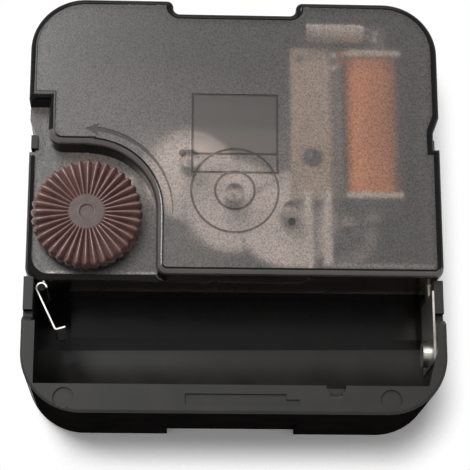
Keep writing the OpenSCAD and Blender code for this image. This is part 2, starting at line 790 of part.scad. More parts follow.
// Soft-iron sheet: ring round the magnet and two arms to the ends of the coil core
module stator() from_back() color(iron) difference() {
    slab(stator_z, core_z) {
        left = stator_arm_x - stator_arm_w / 2;
        right = stator_arm_x + stator_arm_w / 2;
        high = core_high;
        translate(rotor_at) circle(stator_ring_r);
        area([left, rotor_at[1]], [right, high]);
        area([left, coil_end + bobbin_t + 0.2], [coil_x + core_w / 2 + 0.6, high]);
        area([rotor_at[0], core_low], [coil_x + core_w / 2 + 0.6, coil_y - bobbin_t - 0.2]);
    }
    rod(rotor_at, 0, big, stator_hole_r);
    slab(0, big) area([coil_x - coil_r - bobbin_lip - 0.1, coil_y - bobbin_t - 0.1], [big, coil_end + bobbin_t + 0.1]);
    for (post = stator_posts) rod(post, 0, big, post[5] + run_gap);
    // Two small notches in the pole hole set the rotor's rest position
    for (a = [40, 220])
        rod(rotor_at + stator_hole_r * [cos(a), sin(a)], 0, big, 0.35);
}

module coil_core() from_back() color(iron)
    slab(core_z, core_z + core_t) area([coil_x - core_w / 2, core_low], [coil_x + core_w / 2, core_high]);

// Coil axis along y, so that the winding is turned about it
module on_coil_axis(y) translate([coil_x, y, coil_z]) rotate([-90, 0, 0]) children();

bobbin_tube_r = norm([core_w, core_t]) / 2 + 0.35;

module coil_bobbin() from_back() color("#8d8a80") difference() {
    half = coil_r + bobbin_lip;
    union() {
        on_coil_axis(coil_y - eps) cylinder(h = coil_len + 2 * eps, r = bobbin_tube_r);
        for (y = [coil_y - bobbin_t, coil_end])
            translate([coil_x - half, y, coil_z - half]) cube([2 * half, bobbin_t, 2 * half]);
    }
    slab(core_z, core_z + core_t) area([coil_x - core_w / 2, -big], [coil_x + core_w / 2, big]);
}

// Inner layers of the winding, as one plain body
module coil_pack() from_back() color(copper) on_coil_axis(coil_y) difference() {
    cylinder(h = coil_len, r = pack_r);
    translate([0, 0, -1]) cylinder(h = coil_len + 2, r = bobbin_tube_r);
}

// Outer layer: one wire that climbs a pitch a turn, with a straight end into each plate
wire_route = concat(
    [[loop_r, 0, 0], [loop_r, 0, wire_pitch / 2]],
    [for (i = [1 : coil_loops * rings_per_loop - 1])
        let (a = 360 * i / rings_per_loop)
        [loop_r * cos(a), loop_r * sin(a), wire_pitch * (0.5 + i / rings_per_loop)]],
    [[loop_r, 0, coil_len - wire_pitch / 2], [loop_r, 0, coil_len]]
);

function wire_tangent(p, i) = let (d = p[min(i + 1, len(p) - 1)] - p[max(i - 1, 0)]) d / norm(d);

// Rings of a tube along a route: side is a steady direction for each point, square to the tangent
function tube_ring(p, i, r, sides, out) =
    let (t = wire_tangent(p, i), s = cross(t, out), u = s / norm(s), v = cross(u, t))
    [for (k = [0 : sides - 1]) p[i] + r * (cos(360 * k / sides) * v + sin(360 * k / sides) * u)];

module tube(rings) {
    n = len(rings[0]);
    last = len(rings) - 1;
    polyhedron(
        points = [for (ring = rings) each ring],
        faces = concat(
            [[for (k = [n - 1 : -1 : 0]) k]],
            [for (i = [0 : last - 1], k = [0 : n - 1])
                let (a = i * n + k, b = i * n + (k + 1) % n) each [[a, b, b + n], [a, b + n, a + n]]],
            [[for (k = [0 : n - 1]) last * n + k]]
        )
    );
}

// Least distance between stretches of the wire that are half a loop or more apart, less its diameter
function winding_gap() = min([for (i = [0 : len(wire_route) - 1], j = [i + rings_per_loop / 2 : 1 :
    min(len(wire_route) - 1, i + rings_per_loop * 3 / 2)]) norm(wire_route[i] - wire_route[j])]) - wire_d;

module coil_winding() from_back() color(copper) on_coil_axis(coil_y) {
    echo(least_gap_between_loops = winding_gap());
    tube([for (i = [0 : len(wire_route) - 1])
        let (a = atan2(wire_route[i][1], wire_route[i][0]))
        tube_ring(wire_route, i, wire_d / 2, wire_sides, [cos(a), sin(a), 0])]);
}

// The two ends of the winding, led to the board
module coil_leads() from_back() color(copper) {
    side = [coil_x - coil_r - bobbin_lip + 0.3, coil_z + coil_r + bobbin_lip];
    rise = side[1] + lead_rise;
    for (i = [0, 1]) {
        pad = coil_pads[i];
        y = coil_end + bobbin_t / 2;
        route = [
            [side[0] + 1.2 * i, y, side[1]],
            [side[0] + 1.2 * i, y, rise],
            [side[0] - 0.4 + 0.5 * i, y - 0.8, rise],
            [pad[0] + 0.5, pad[1] + 0.3, board_top + 0.8],
            [pad[0], pad[1], board_top + 0.15],
        ];
        tube([for (k = [0 : len(route) - 1]) tube_ring(route, k, lead_r, wire_sides, [0.3, 1, 0.2])]);
    }
}

module board_outline() {
    round_box([board_left, board_y], [board_right, board_high], 0.6, 0.6);
    round_box([board_arm_x, coil_end + bobbin_t + 0.15], [board_arm, board_arm_y], 0.6, 0.6);
}

module circuit_board() from_back() color(board_tan) difference() {
    slab(board_z, board_top) board_outline();
    for (post = board_posts) rod(post, 0, big, post[5] + run_gap);
    // Cut-out that the crystal's can lies in, open at the upper edge, with room for the bend of its legs
    slab(0, big) area([can_left - 1, can_y - can_r - 0.1], [can_right + lead_bend + lead_d, big]);
}

module chip_resin() from_back() color("#26221f")
    translate([chip_at[0], chip_at[1], board_top]) rotate_extrude() intersection() {
        translate([0, chip_h - dome_r(chip_r, chip_h)]) circle(dome_r(chip_r, chip_h));
        square([chip_r, chip_h]);
    }

// Radius of the sphere whose cap has this base radius and height
function dome_r(base, high) = (base ^ 2 + high ^ 2) / (2 * high);

module crystal_can() from_back() color(steel)
    translate([can_left, can_y, can_z]) rotate([0, 90, 0]) {
        cylinder(h = can_len - 0.4, r = can_r);
        translate([0, 0, can_len - 0.4 - eps]) cylinder(h = 0.4 + eps, r = can_r - 0.2);
    }

// Legs of the crystal: out of the can, down to the board and along it to the pad
module crystal_leads() from_back() color(steel) {
    r = lead_d / 2;
    bend_x = can_right + lead_bend;
    for (pad = crystal_pads) {
        translate([can_right, pad[1], can_z]) rotate([0, 90, 0]) cylinder(h = lead_bend + r, r = r);
        rod([bend_x, pad[1]], min(can_z, lead_z) - r, max(can_z, lead_z) + r, r);
        translate([bend_x - r, pad[1], lead_z]) rotate([0, 90, 0]) cylinder(h = pad[0] - bend_x + 2 * r, r = r);
    }
}

module solder_joints() from_back() color("#cfd2d6")
    for (pad = concat(coil_pads, crystal_pads))
        translate([pad[0], pad[1], board_top]) rotate_extrude() intersection() {
            circle(solder_r - 0.02);
            square(solder_r);
        }

// Bent strip at the positive end, with the button for the cell and a tab on the board
module positive_contact() from_back() color(steel) {
    x = bay_right;
    turn_y = train_low + strip_turn;
    slab(strip_low_z, side_low_z) area([x - strip_t, strip_high], [x, strip_low]);
    slab(strip_pass[0], strip_pass[1]) area([x - strip_t, strip_high - 0.1], [x, turn_y]);
    slab(strip_pass[0], tab_z + strip_t) area([positive_tab_x, turn_y - strip_t], [x, turn_y]);
    slab(tab_z, tab_z + strip_t) area([positive_tab_x, turn_y - strip_t], [positive_tab_x + tab_w, tab_top]);
    translate([x - strip_t + eps, button_y, cell_z]) rotate([0, -90, 0]) cylinder(h = button_h, r = button_r);
}

// Long strip on edge along the bay wall, from the leaf to the board
module negative_strip() from_back() color(steel) {
    slab(divider_z, rail_top) area([peg_x, rail_y], [negative_tab_x, rail_y + strip_t]);
    slab(divider_z + 1.1, divider_z + 3.4) area([peg_x, rail_y + strip_t], [peg_x + strip_t, bay_top]);
    slab(divider_z, tab_z + strip_t)
        area([negative_tab_x - eps, rail_y], [negative_tab_x + tab_w, rail_y + strip_t]);
    slab(tab_z, tab_z + strip_t) area([negative_tab_x, rail_y], [negative_tab_x + tab_w, tab_top]);
}

// Springy leaf at the negative end: a loop round its peg, a straight blade and a turned-in toe
module negative_contact() from_back() color(steel) translate([peg_x, peg_y, leaf_z]) {
    mid_r = loop_out_r - strip_t / 2;
    difference() {
        cylinder(h = leaf_w, r = loop_out_r);
        translate([0, 0, -1]) cylinder(h = leaf_w + 2, r = loop_out_r - strip_t);
    }
    rotate(leaf_angle) translate([-mid_r, 0, 0]) {
        translate([-strip_t / 2, -leaf_len, 0]) cube([strip_t, leaf_len, leaf_w]);
        translate([0, -leaf_len, 0]) {
            cylinder(h = leaf_w, r = strip_t / 2);
            rotate(81) translate([-strip_t / 2, -toe_len, 0]) cube([strip_t, toe_len, leaf_w]);
        }
    }
}

module rotor_magnet() from_back() color("#55585c") difference() {
    rod(rotor_at, magnet_z, magnet_z + magnet_t, magnet_r);
    rod(rotor_at, 0, big, pivot_r + 0.4);
}

module rotor_pinion() from_back() color(white_resin) {
    rod(rotor_at, magnet_z - 0.9, pivot_top, pivot_r);
    rod(rotor_at, magnet_z - 0.1, inter_z, pivot_r + 0.4);
    rod(rotor_at, magnet_z + magnet_t, magnet_z + magnet_t + 0.3, 1.2);
    translate([rotor_at[0], rotor_at[1], inter_z - 0.1]) linear_extrude(wheel_t + 0.3)
        gear_outline(rotor_teeth, rotor_module, pinion_tooth, rotor_turn);
}

module intermediate_wheel() from_back() color(white_resin) {
    wheel(inter_at, inter_z, wheel_t, inter_teeth, rotor_module, 0, 1.4, pivot_r, 0);
    rod(inter_at, pivot_bottom, pivot_top, pivot_r);
    rod(inter_at, bridge_top + end_play, seconds_z - 0.1, 0.6);
    translate([inter_at[0], inter_at[1], seconds_z - 0.1]) linear_extrude(inter_z - seconds_z + 0.1 + eps)
        gear_outline(inter_pinion_teeth, inter_module, pinion_tooth, inter_pinion_turn);
}

module seconds_wheel() from_back() color(white_resin) {
    wheel(shaft_at, seconds_z, wheel_t, seconds_teeth, inter_module, 0, 1.6, seconds_r, 1);
    difference() {
        translate([0, 0, third_z - 0.1]) linear_extrude(seconds_z - third_z + 0.1 + eps)
            gear_outline(seconds_pinion_teeth, third_module, pinion_tooth, 0);
        rod(shaft_at, 0, big, seconds_r);
    }
}

module seconds_shaft() from_back() color(steel) {
    rod(shaft_at, -seconds_reach, seconds_z + wheel_t, seconds_r);
    rod(shaft_at, -seconds_reach + seconds_seat, seconds_seat_z, seconds_body_r);
    rod(shaft_at, seconds_z, pivot_top, pivot_r);
}

module third_wheel() from_back() color(white_resin) {
    wheel(third_at, third_z, wheel_t, third_teeth, third_module, third_turn, 1.4, pivot_r, 0);
    rod(third_at, pivot_bottom, pivot_top, pivot_r);
    translate([third_at[0], third_at[1], centre_z - 0.1]) linear_extrude(third_z - centre_z + 0.1 + eps)
        gear_outline(third_pinion_teeth, centre_module, pinion_tooth, 0);
}

module centre_wheel() from_back() color(white_resin)
    wheel(shaft_at, centre_z, wheel_t, centre_teeth, centre_module, centre_turn, 2.2,
        minute_top_r + run_gap, 0);

// Dished steel washer, riveted on the pipe, that drives the minute hand by friction
module clutch_spring() from_back() color(steel) difference() {
    rod(shaft_at, minute_top - spring_t, minute_top, minute_pipe_r + 0.4);
    rod(shaft_at, 0, big, minute_top_r);
}

// Minute pipe with its cannon pinion
module minute_pipe() from_back() color(brass) difference() {
    union() {
        rod(shaft_at, -minute_reach, setting_z, minute_pipe_r);
        rod(shaft_at, -minute_reach + minute_seat, setting_z + eps, minute_body_r);
        translate([0, 0, setting_z]) linear_extrude(setting_t)
            gear_outline(cannon_teeth, setting_module, pinion_tooth, cannon_turn);
        rod(shaft_at, setting_z, bridge_ring_z, minute_neck_r);
        rod(shaft_at, setting_z, minute_top, minute_top_r);
    }
    rod(shaft_at, -big, big, seconds_body_r + run_gap);
}

module minute_work_wheel() from_back() color(white_resin) {
    bore = work_post_r + run_gap;
    wheel(work_at, setting_z, setting_t, work_teeth, setting_module, 0, 2.2, bore, 5);
    difference() {
        translate([work_at[0], work_at[1], hour_z]) linear_extrude(setting_z - hour_z + eps)
            gear_outline(work_pinion_teeth, hour_module, pinion_tooth, 0);
        rod(work_at, 0, big, bore);
    }
}

module hour_wheel() from_back() color(white_resin) {
    bore = minute_body_r + run_gap;
    wheel(shaft_at, hour_z, hour_t, hour_teeth, hour_module, hour_turn, hour_body_r + 0.4, bore, 5);
    difference() {
        union() {
            rod(shaft_at, -hour_reach, 0, hour_pipe_r);
            rod(shaft_at, -hour_reach + hour_seat, hour_z + eps, hour_body_r);
        }
        rod(shaft_at, -big, big, bore);
    }
}

// Fluted knob: plain disc below, radial ribs above, flat hub
module setting_knob() from_back() color(red_smoke) {
    low = tray_z + knob_gap;
    rib_z = low + knob_t;
    r = knob_d / 2;
    pitch = 360 / knob_flutes;
    translate([knob_at[0], knob_at[1], 0]) difference() {
        union() {
            slab(low, rib_z + eps) polygon([for (i = [0 : knob_flutes - 1], k = [0 : 3])
                let (a = pitch * (i + [-0.3, -0.18, 0.18, 0.3][k]), q = [r - 0.35, r, r, r - 0.35][k])
                q * [cos(a), sin(a)]]);
            slab(rib_z, rib_z + flute_h) {
                circle(knob_hub_r);
                for (i = [0 : knob_flutes - 1]) rotate(pitch * i)
                    polygon([[knob_hub_r - 0.2, -0.1], [r - 0.5, -0.3], [r - 0.5, 0.3], [knob_hub_r - 0.2, 0.1]]);
            }
        }
        rod([0, 0], 0, rib_z + flute_h - 0.4, arbor_r);
        rod([0, 0], rib_z + flute_h - 0.5, big, 0.9);
    }
}

module knob_arbor() from_back() color(red_smoke) {
    rod(knob_at, floor_t + 2 * end_play, tray_z + knob_gap + knob_t + flute_h - 0.4, arbor_r);
    rod(knob_at, setting_z + setting_t, tray_z - tray_t - 0.3, arbor_r + 0.5);
    translate([knob_at[0], knob_at[1], setting_z]) linear_extrude(setting_t + eps)
        gear_outline(knob_teeth, setting_module, pinion_tooth, knob_turn);
}

base_case();
rear_cover();
bushing();
train_bridge();
stator();
coil_core();
coil_bobbin();
coil_pack();
coil_winding();
coil_leads();
circuit_board();
chip_resin();
crystal_can();
crystal_leads();
solder_joints();
positive_contact();
negative_strip();
negative_contact();
rotor_magnet();
rotor_pinion();
intermediate_wheel();
seconds_wheel();
seconds_shaft();
third_wheel();
centre_wheel();
clutch_spring();
minute_pipe();
minute_work_wheel();
hour_wheel();
setting_knob();
knob_arbor();
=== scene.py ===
import math

import bmesh
import bpy
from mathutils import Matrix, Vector


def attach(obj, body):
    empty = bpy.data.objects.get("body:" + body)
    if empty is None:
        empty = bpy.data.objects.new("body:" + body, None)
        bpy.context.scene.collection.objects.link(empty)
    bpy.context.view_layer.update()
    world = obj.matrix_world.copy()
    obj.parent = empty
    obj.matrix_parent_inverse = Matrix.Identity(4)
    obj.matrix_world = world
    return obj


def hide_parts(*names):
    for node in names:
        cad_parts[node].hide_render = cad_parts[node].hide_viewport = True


# A quartz clock movement for one AA cell, seen from behind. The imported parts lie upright: +Z up, the dial
# face at y = 0, the back at y = 16 mm, and +X to the left for someone who looks at the back. The file goes
# through the pieces in the order in which the movement is put together, and ends with the studio. Sizes are
# in millimetres, and times mm they are in metres.
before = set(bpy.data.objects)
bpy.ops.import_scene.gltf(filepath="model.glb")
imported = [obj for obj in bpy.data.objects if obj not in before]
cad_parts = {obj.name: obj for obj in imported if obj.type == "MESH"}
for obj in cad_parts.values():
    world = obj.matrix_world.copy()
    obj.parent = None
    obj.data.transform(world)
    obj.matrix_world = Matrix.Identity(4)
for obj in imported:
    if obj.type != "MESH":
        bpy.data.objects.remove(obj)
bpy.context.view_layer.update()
mm = 0.001

# Base
# The black tray that carries everything: dial face, battery trough and rim, shot in one piece of ABS. The
# steel of the mould was spark-eroded where the case is seen, and polished in the trough, where the cell slides.
dial_face = 0
case_back = 16
bay_top = -11.7
bay_low = -26.5
bay_half = 26.9
# Below this level and in front of this depth the trough takes the rim's lighter satin: a painted sheen where
# the lamp's reflection falls.
painted_sheen_top = -18.6
painted_sheen_back = 8


def linear(hex_colour):
    """The linear RGBA values of an sRGB colour."""
    parts = [int(hex_colour[i:i + 2], 16) / 255 for i in (1, 3, 5)]
    return [c / 12.92 if c < 0.04045 else ((c + 0.055) / 1.055) ** 2.4 for c in parts] + [1]


def add(tree, kind, inputs=None, **settings):
    """Adds a node. An input is a plain value, or the socket that it is linked from."""
    made = tree.nodes.new(kind)
    for name, value in settings.items():
        setattr(made, name, value)
    for name, value in (inputs or {}).items():
        socket = made.inputs[name]
        if isinstance(value, bpy.types.NodeSocket):
            tree.links.new(value, socket)
        else:
            socket.default_value = value
    return made


def new_finish(name, **sockets):
    """A new material: its tree, its Principled shader with these plain values, and the place on the piece."""
    made = bpy.data.materials.new(name)
    made.use_nodes = True
    tree = made.node_tree
    shader = tree.nodes["Principled BSDF"]
    for label, value in sockets.items():
        shader.inputs[label.replace("_", " ")].default_value = value
    place = add(tree, "ShaderNodeTexCoord").outputs["Object"]
    return made, tree, shader, place


def cloudy(tree, shader, place, size, dark, light, detail=3.0):
    """Gives the shader a colour that drifts between two tones, in patches of this size."""
    cloud = add(tree, "ShaderNodeTexNoise", {"Vector": place, "Scale": 1 / (size * mm), "Detail": detail})
    tone = add(tree, "ShaderNodeValToRGB", {"Fac": cloud.outputs["Fac"]})
    for stop, position, colour in zip(tone.color_ramp.elements, (0.3, 0.7), (dark, light)):
        stop.position = position
        stop.color = linear(colour)
    tree.links.new(tone.outputs["Color"], shader.inputs["Base Color"])
    return cloud.outputs["Fac"]


def satin_from(tree, shader, value, smooth, rough):
    """Lets the roughness drift between two levels with a pattern."""
    satin = add(tree, "ShaderNodeMapRange", {"Value": value, "To Min": smooth, "To Max": rough})
    tree.links.new(satin.outputs["Result"], shader.inputs["Roughness"])


def grained(tree, shader, place, size, depth):
    """Fine relief with grains of this size and depth."""
    grain = add(tree, "ShaderNodeTexNoise", {"Vector": place, "Scale": 1 / (size * mm), "Detail": 2.0})
    relief = add(tree, "ShaderNodeBump", {"Height": grain.outputs["Fac"], "Distance": depth * mm})
    tree.links.new(relief.outputs["Normal"], shader.inputs["Normal"])


def packed_solid(node):
    """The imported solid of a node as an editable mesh, with its flat faces whole again."""
    solid = bmesh.new()
    solid.from_mesh(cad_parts[node].data)
    bmesh.ops.remove_doubles(solid, verts=solid.verts, dist=0.0002 * mm)
    bmesh.ops.dissolve_limit(solid, angle_limit=math.radians(0.3), verts=solid.verts, edges=solid.edges)
    return solid


def face_depth(face):
    """How far a face reaches from front to back."""
    levels = [v.co.y / mm for v in face.verts]
    return max(levels) - min(levels)


def sharp(edge):
    return edge.is_manifold and edge.calc_face_angle(0) > math.radians(30)


def round_off(solid, edges, width, segments):
    bmesh.ops.bevel(solid, geom=edges, offset=width * mm, offset_type="OFFSET", segments=segments,
                    profile=0.5, affect="EDGES", clamp_overlap=False)


def round_rim(solid, level, width, wall, where, segments=3):
    """Rounds the sharp edges of the flat faces at a level, where a wall of at least this depth meets them."""
    round_off(solid, [
        e for e in solid.edges
        if sharp(e) and all(abs(v.co.y / mm - level) <= 0.01 for v in e.verts)
        and max(face_depth(f) for f in e.link_faces) >= wall
        and all(where(v.co.x / mm, v.co.z / mm) for v in e.verts)
    ], width, segments)


def round_upright(solid, width, where, segments=4):
    """Rounds the edges that run from front to back and stand at a place in the outline."""
    round_off(solid, [
        e for e in solid.edges
        if sharp(e) and e.calc_length() > 1 * mm
        and abs((e.verts[0].co - e.verts[1].co).normalized().y) > 0.99
        and where(e.verts[0].co.x / mm, e.verts[0].co.z / mm)
    ], width, segments)


def fill_flat(solid, level):
    """Draws the flat faces at a level afresh, from their outlines alone."""
    flats = [f for f in solid.faces if all(abs(v.co.y / mm - level) < 0.002 for v in f.verts)]
    bmesh.ops.delete(solid, geom=flats, context="FACES")
    outlines = [e for e in solid.edges if e.is_boundary]
    filled = bmesh.ops.triangle_fill(solid, edges=outlines, use_beauty=True, normal=(0, 1, 0))
    for f in filled["geom"]:
        if isinstance(f, bmesh.types.BMFace) and f.normal.y < 0:
            f.normal_flip()


def shade(mesh, alike):
    """Smooth shading over edges with alike faces, in which the large faces keep their own direction."""
    large = (10 * mm) ** 2
    meeting = [[] for _ in mesh.vertices]
    for f in mesh.polygons:
        flat = abs(f.normal.y) > 0.9999
        weight = 1 if flat else (f.area / large) ** 2
        for v in f.vertices:
            meeting[v].append((f.normal.copy(), weight))
    directions = []
    for f in mesh.polygons:
        for v in f.vertices:
            near = [n * weight for n, weight in meeting[v] if n.dot(f.normal) > alike]
            directions.append((sum(near, Vector()) or f.normal).normalized())
    mesh.shade_smooth()
    mesh.normals_split_custom_set(directions)


def piece(name, solid, materials, body, slot, *nodes, smooth=35, choose=None):
    """Makes the object, gives each face the material that choose picks, and ties it to its body; the slot is
    not used.
    """
    solid.normal_update()
    if choose:
        for f in solid.faces:
            f.material_index = choose(f, f.calc_center_median() / mm)
    mesh = bpy.data.meshes.new(name)
    solid.to_mesh(mesh)
    solid.free()
    for material in materials:
        mesh.materials.append(material)
    shade(mesh, math.cos(math.radians(smooth)))
    made = bpy.data.objects.new(name, mesh)
    bpy.context.scene.collection.objects.link(made)
    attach(made, body)
    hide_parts(*nodes)


# Spark-eroded ABS: satin, with a grain too fine to see, slightly cloudy where the melt cooled unevenly.
satin_abs, tree, shader, place = new_finish("spark_eroded_black_abs", IOR=1.53, Specular_IOR_Level=0.3)
cloud = cloudy(tree, shader, place, 5, "#1b1a19", "#262423")
satin_from(tree, shader, cloud, 0.46, 0.56)
grained(tree, shader, place, 0.16, 0.008)

# The outer walls are matt and get a darker copy of the ABS with its reflection turned off: painted shade on the
# walls.
wall_abs_painted_shade, tree, shader, place = new_finish("black_abs_walls_painted_shade", IOR=1.53, Roughness=0.7,
                                           Specular_IOR_Level=0.0)
cloudy(tree, shader, place, 5, "#151414", "#1e1c1b")
grained(tree, shader, place, 0.2, 0.012)

# Polished ABS in the trough: a soft gloss, a little wavy where the piece slid out of the mould. Its colour is
# darker than the rim's: painted shade in the bay.
gloss_abs_painted_shade, tree, shader, place = new_finish("polished_black_abs_painted_shade", IOR=1.53, Specular_IOR_Level=0.14)
cloud = cloudy(tree, shader, place, 4, "#0a0a0a", "#131212")
satin_from(tree, shader, cloud, 0.16, 0.26)
grained(tree, shader, place, 0.8, 0.006)


def on_outline(x, z):
    """True at the case's outer edge beside and below the bay."""
    corner_x, corner_z, just_inside = 20, -22.3, 7.7
    corner = abs(x) > corner_x and z < corner_z and math.hypot(abs(x) - corner_x, z - corner_z) > just_inside
    return z < bay_top and (abs(x) > 27.3 or z < -27.5 or corner)


def away_from_bushing(x, z):
    return abs(x) > 15 or abs(z) > 15


def base_face(face, at):
    """0 for the satin rim and the trough's lower half (a painted sheen), 1 for its polished rest and 2 for the
    outer walls (painted shade).
    """
    if abs(at.x) < bay_half and bay_low - 0.2 < at.z < bay_top + 0.05 and 0.8 < at.y < 15.5:
        return 1 if at.z > painted_sheen_top or at.y > painted_sheen_back else 0
    return 2 if abs(face.normal.y) < 0.3 else 0


base = packed_solid("base_case")
round_rim(base, case_back, 0.45, 1, on_outline, segments=4)
round_rim(base, dial_face, 0.4, 1, away_from_bushing)
fill_flat(base, case_back)
piece("moulded_base", base, [satin_abs, gloss_abs_painted_shade, wall_abs_painted_shade], "case", "black_abs", "base_case",
      choose=base_face)

# Bushing
# Turned from brass bar and threaded with a die, then pressed into the dial hole from inside. A nut on the
# 0.75 mm thread clamps the dial. The thread here is a true helix.
bore_r = 2.76
crest_r = 3.9
root_r = 3.55
pitch = 0.75
thread_front = -6.0
neck_length = 0.6
seat_r = 4.14
flange_r = 5.19
flange_front = 0.6
flange_back = 1.45

# Turned brass: bright and warm, with the faint bands that the tool leaves.
brass, tree, shader, place = new_finish("turned_brass", Metallic=1.0, Roughness=0.28)
cloudy(tree, shader, place, 1.2, "#b08a45", "#caa35c")
grained(tree, shader, place, 0.3, 0.004)


def bushing_section(turn):
    """Section of the bushing (radius, level) at this share of a turn; the thread climbs with the turn."""
    ease = 0.1
    steps = 72
    outline = [
        (bore_r, flange_back), (bore_r, thread_front + ease), (bore_r + ease, thread_front),
        (root_r, thread_front),
    ]
    for i in range(steps + 1):
        y = thread_front - thread_front * i / steps
        wave = min(1, abs(((y / pitch + turn) % 1) * 2 - 1) * 1.25)
        runs_in = min(1, (y - thread_front) / 0.5)
        runs_out = max(0, (y + neck_length) / neck_length)
        outline.append((root_r + (crest_r - root_r) * max(runs_out, wave * runs_in), y))
    return outline + [
        (seat_r, 0.0), (seat_r, flange_front), (flange_r - 0.09, flange_front),
        (flange_r, flange_front + ease), (flange_r, flange_back - 0.09), (flange_r - 0.09, flange_back),
    ]


def join_rings(solid, rings, come_round=False):
    """Faces from each ring of vertices to the next; the last meets the first, or both ends are closed."""
    for a, b in zip(rings, rings[1:] + (rings[:1] if come_round else [])):
        for i in range(len(a)):
            j = (i + 1) % len(a)
            solid.faces.new((a[i], a[j], b[j], b[i]))
    if not come_round:
        solid.faces.new(rings[0][::-1])
        solid.faces.new(rings[-1])


def turned_about_shaft(section, sides):
    solid = bmesh.new()
    rings = []
    for k in range(sides):
        a = 2 * math.pi * k / sides
        rings.append([
            solid.verts.new(Vector((r * math.cos(a), y, r * math.sin(a))) * mm)
            for r, y in section(k / sides)
        ])
    join_rings(solid, rings, come_round=True)
    bmesh.ops.recalc_face_normals(solid, faces=solid.faces)
    return solid


piece("threaded_bushing", turned_about_shaft(bushing_section, 72), [brass], "case", "brass", "bushing",
      smooth=50)

# Hand wheels and pipes
# White acetal gears from small injection moulds, and a brass pipe with its cannon pinion cut from bar. They
# turn on each other inside the bushing and carry the hour and minute hands on the dial side. A thin steel
# washer between the pipe and the train lets the knob turn the hands alone.

# White acetal: milky and waxy, with a soft sheen.
acetal, tree, shader, place = new_finish("moulded_white_acetal", IOR=1.48, Roughness=0.38)
cloudy(tree, shader, place, 1.6, "#d3cec2", "#ebe7dc")
grained(tree, shader, place, 0.25, 0.004)

# Spring steel with a thin nickel coat: bright, faintly patchy where the coat varies.
plated, tree, shader, place = new_finish("nickel_plated_spring_steel", Metallic=1.0)
cloud = cloudy(tree, shader, place, 0.8, "#b3afa8", "#d2d0ca")
satin_from(tree, shader, cloud, 0.28, 0.38)


def dress(node, material):
    """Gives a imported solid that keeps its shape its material."""
    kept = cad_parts[node]
    kept.data.materials.clear()
    kept.data.materials.append(material)


dress("hour_wheel", acetal)
dress("minute_work_wheel", acetal)
dress("minute_pipe", brass)
dress("clutch_spring", plated)

# Gear train
# A bridge is pressed on the posts of the base, over the hand wheels, and the wheels of the train stand on it.
# Their upper pivots run in the rear cover. Only the seconds wheel has a steel shaft.

# Acetal dyed black, for the bridge: a dull dark ground behind the pale wheels.
black_acetal, tree, shader, place = new_finish("moulded_black_acetal", IOR=1.48, Roughness=0.45)
cloudy(tree, shader, place, 2.5, "#3a3634", "#443f3c")
grained(tree, shader, place, 0.25, 0.004)

# Undyed acetal, for the wheels of the train: greyer than the white of the hand wheels.
natural_acetal, tree, shader, place = new_finish("moulded_natural_acetal", IOR=1.48, Roughness=0.4)
cloudy(tree, shader, place, 1.6, "#a39d9a", "#b7b1ae")
grained(tree, shader, place, 0.25, 0.004)

# Ground steel: a cool, close grey, with the fine marks of the grinding wheel.
ground_steel, tree, shader, place = new_finish("ground_steel", Metallic=1.0, Roughness=0.2)
cloudy(tree, shader, place, 0.5, "#a5a8ac", "#c6c9cc")
grained(tree, shader, place, 0.12, 0.002)

dress("train_bridge", black_acetal)
for node in ("third_wheel", "centre_wheel", "seconds_wheel", "intermediate_wheel", "rotor_pinion"):
    dress(node, natural_acetal)
dress("seconds_shaft", ground_steel)

# Stepper motor
# A ring of sintered ferrite between the poles of a stamped soft-iron sheet, and the core of the coil
# riveted to it. The sheet was annealed after stamping.

# Annealed iron: dull and grey, with the cloudy scale of the furnace.
iron, tree, shader, place = new_finish("annealed_soft_iron", Metallic=1.0)
cloud = cloudy(tree, shader, place, 1.0, "#5f5c5a", "#7b7977")
satin_from(tree, shader, cloud, 0.4, 0.55)

# Sintered ferrite: nearly black and matt, with a fine sandy grain.
ferrite, tree, shader, place = new_finish("sintered_ferrite", IOR=1.9, Roughness=0.6)
cloudy(tree, shader, place, 0.3, "#2c2b2b", "#454443")
grained(tree, shader, place, 0.1, 0.006)

dress("stator", iron)
dress("coil_core", iron)
dress("rotor_magnet", ferrite)

# Coil
# Some thousands of turns of enamelled copper wire on a nylon bobbin, wound by machine in even layers. The
# wire is drawn thicker than the real 0.03 mm, at 0.17 mm, so that the turns can be told apart.
coil_at = Vector((-19.5, 8.6, 1.0))
coil_length = 20.0
coil_half_depth = 3.5
coil_half_width = 3.95
coil_turns = 116
wire_r = 0.085
lead_r = 0.1

# Enamelled copper: orange and a little veiled, since the clear coat covers the metal.
enamel, tree, shader, place = new_finish("enamelled_copper_wire", Metallic=0.2, Roughness=0.42)
cloudy(tree, shader, place, 2.5, "#b86f38", "#ca8446")

# Moulded nylon: warm grey and waxy.
nylon, tree, shader, place = new_finish("moulded_grey_nylon", IOR=1.53, Roughness=0.45)
cloudy(tree, shader, place, 1.5, "#8d877c", "#a59e92")
grained(tree, shader, place, 0.3, 0.005)


def sweep(solid, points, radius, sides):
    """Adds a round wire along the points, closed at both ends."""
    rings = []
    side = (points[1] - points[0]).orthogonal()
    for i, p in enumerate(points):
        ahead = (points[min(i + 1, len(points) - 1)] - points[max(i - 1, 0)]).normalized()
        side = (side - ahead * side.dot(ahead)).normalized()
        other = ahead.cross(side)
        rings.append([
            solid.verts.new((p + radius * (math.cos(t) * side + math.sin(t) * other)) * mm)
            for t in (2 * math.pi * k / sides for k in range(sides))
        ])
    join_rings(solid, rings)


def wire_route():
    """The middle of the wire in its outer layer: turns with a squarish section, one beside the other."""
    steps = 20
    squareness = 0.7
    climb = (coil_length - 2 * wire_r) / coil_turns
    route = []
    for i in range(coil_turns * steps + 1):
        c, s = math.cos(2 * math.pi * i / steps), math.sin(2 * math.pi * i / steps)
        route.append(coil_at + Vector((
            (coil_half_width - wire_r) * math.copysign(abs(c) ** squareness, c),
            (coil_half_depth - wire_r) * math.copysign(abs(s) ** squareness, s),
            wire_r + climb * i / steps,
        )))
    return route


